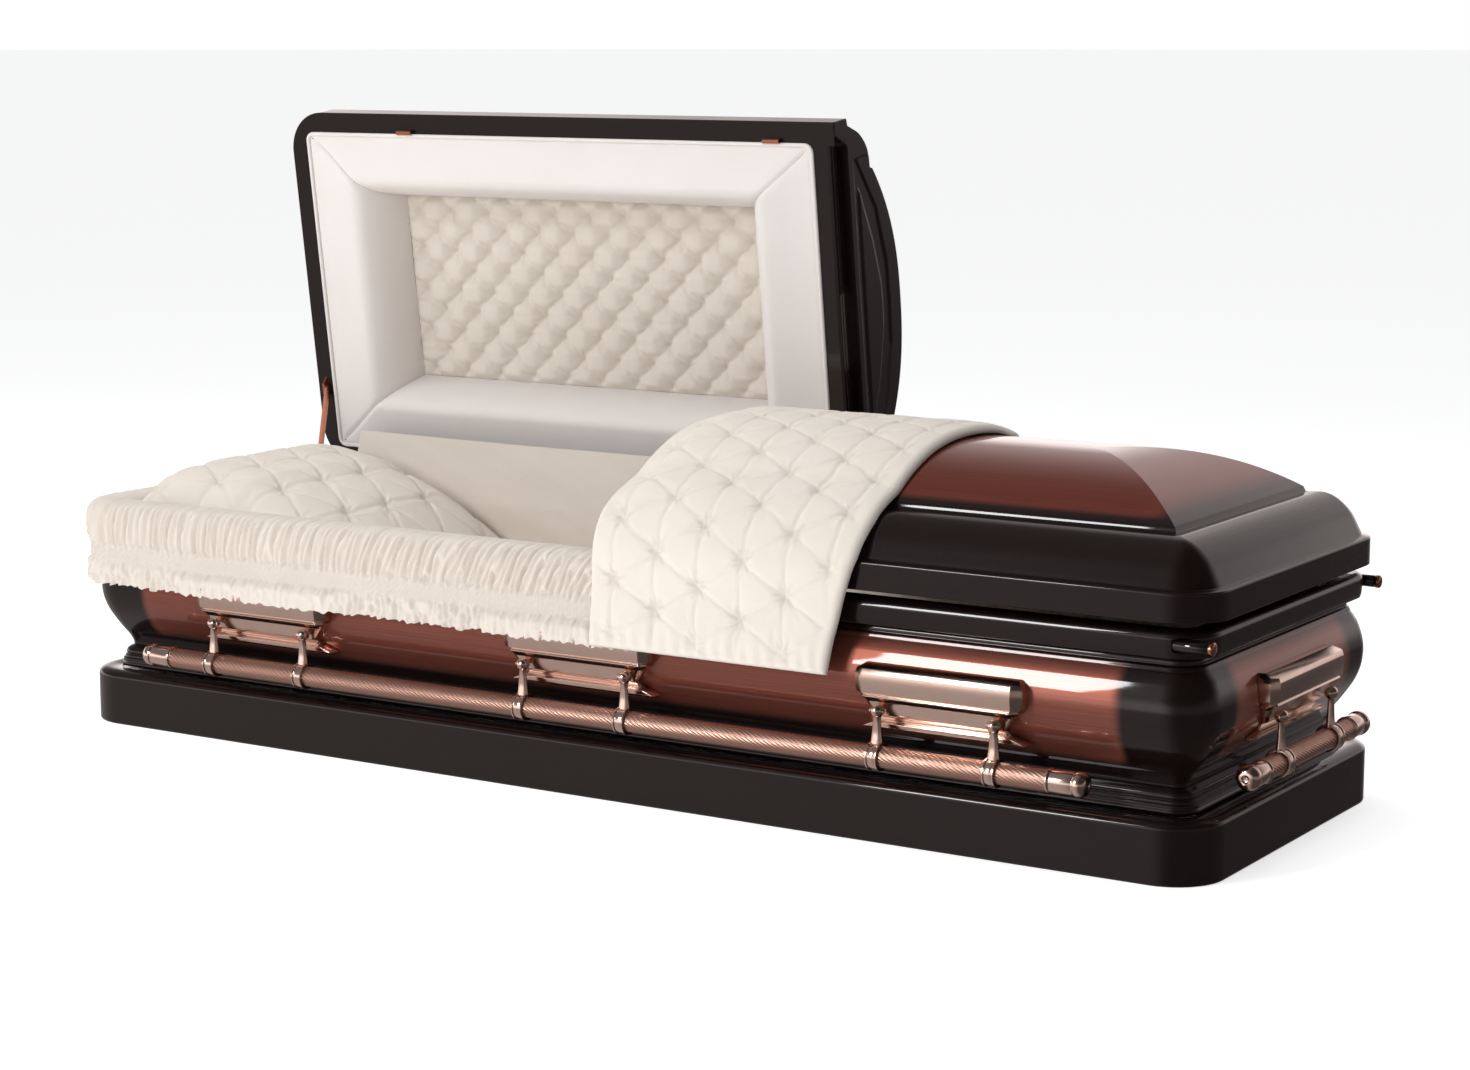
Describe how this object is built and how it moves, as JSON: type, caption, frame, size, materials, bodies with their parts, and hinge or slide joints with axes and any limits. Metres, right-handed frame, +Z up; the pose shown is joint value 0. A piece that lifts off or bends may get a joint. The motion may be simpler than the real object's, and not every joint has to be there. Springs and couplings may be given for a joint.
{
  "type": "funeral casket",
  "caption": "Half-couch funeral casket with the head lid open, quilted cloth interior, bulged metal body and swinging bar handles.",
  "frame": {"origin": "centre of the plinth's underside", "axes": "+X along the casket towards the foot end, -Y towards the front, +Z up"},
  "size_m": [2.1501, 0.8583, 1.0391],
  "materials": {
    "ebony_lacquer": "high gloss near-black ebony brown lacquer",
    "shaded_copper_lacquer": "high gloss lacquer, airbrushed from ebony at the edges to copper brown",
    "rose_copper": "polished rose copper plate",
    "satin_copper": "satin copper brown with fine spiral flutes",
    "black_tube": "gloss black",
    "hinge_steel": "plain bright steel",
    "crepe": "smooth pinkish white crepe",
    "velvet": "ivory velvet, quilted, tufted or gathered"
  },
  "bodies": {
    "casket_body": {"plinth": "ebony_lacquer", "base_moulding": "ebony_lacquer", "body_shell": "shaded_copper_lacquer", "body_rim": "ebony_lacquer", "corner_tube_front": "black_tube", "corner_tube_back": "black_tube", "corner_tube_cap_front": "rose_copper", "corner_tube_cap_back": "rose_copper", "head_lid_hinge": "hinge_steel", "foot_lid_hinge": "hinge_steel", "mattress": "crepe", "bed_sheet": "crepe", "body_lining": "crepe", "rear_apron": "crepe", "pillow": "velvet", "rim_skirt": "velvet", "front_lug_1": "rose_copper", "front_lug_2": "rose_copper", "front_lug_3": "rose_copper", "back_lug_1": "rose_copper", "back_lug_2": "rose_copper", "back_lug_3": "rose_copper", "foot_lug_1": "rose_copper"},
    "head_lid": {"head_lid_shell": "ebony_lacquer", "lid_puff_frame": "crepe", "lid_tufted_panel": "velvet", "latch_pin_head": "rose_copper", "latch_pin_foot": "rose_copper", "lid_stay_bracket": "rose_copper"},
    "lid_stay": {"lid_stay_arm": "rose_copper"},
    "foot_lid": {"foot_lid_shell": "shaded_copper_lacquer", "foot_throw": "velvet"},
    "front_handle": {"front_arm_1": "rose_copper", "front_arm_2": "rose_copper", "front_arm_3": "rose_copper", "front_arm_4": "rose_copper", "front_arm_5": "rose_copper", "front_arm_6": "rose_copper", "front_handle_bar": "satin_copper", "front_bar_tip_a": "rose_copper", "front_bar_tip_b": "rose_copper"},
    "back_handle": {"back_arm_1": "rose_copper", "back_arm_2": "rose_copper", "back_arm_3": "rose_copper", "back_arm_4": "rose_copper", "back_arm_5": "rose_copper", "back_arm_6": "rose_copper", "back_handle_bar": "satin_copper", "back_bar_tip_a": "rose_copper", "back_bar_tip_b": "rose_copper"},
    "foot_handle": {"foot_arm_1": "rose_copper", "foot_arm_2": "rose_copper", "foot_handle_bar": "satin_copper", "foot_bar_tip_a": "rose_copper", "foot_bar_tip_b": "rose_copper"}
  },
  "joints": [
    {"name": "head_lid_hinge", "type": "hinge", "parent": "casket_body", "child": "head_lid", "pos_m": [0, 0.3335, 0.3712], "axis": [-1, 0, 0], "range_deg": [-82.3, 0], "deforming": ["rim_skirt", "pillow", "rear_apron", "foot_throw"]},
    {"name": "lid_stay_pivot", "type": "hinge", "parent": "head_lid", "child": "lid_stay", "pos_m": [-1.0277, 0.31047, 0.51693], "axis": [-1, 0, 0], "range_deg": [-20, 0]},
    {"name": "foot_lid_hinge", "type": "hinge", "parent": "casket_body", "child": "foot_lid", "pos_m": [0, 0.3335, 0.3712], "axis": [-1, 0, 0], "range_deg": [0, 82.3]},
    {"name": "front_handle_pivot", "type": "hinge", "parent": "casket_body", "child": "front_handle", "pos_m": [0, -0.3533, 0.2025], "axis": [-1, 0, 0], "range_deg": [0, 85]},
    {"name": "back_handle_pivot", "type": "hinge", "parent": "casket_body", "child": "back_handle", "pos_m": [0, 0.3533, 0.2025], "axis": [1, 0, 0], "range_deg": [0, 85]},
    {"name": "foot_handle_pivot", "type": "hinge", "parent": "casket_body", "child": "foot_handle", "pos_m": [1.0667, 0, 0.208], "axis": [0, -1, 0], "range_deg": [0, 85]}
  ],
  "couplings": [
    {"joint": "lid_stay_pivot", "follows": "head_lid_hinge", "ratio": 0.2394}
  ]
}
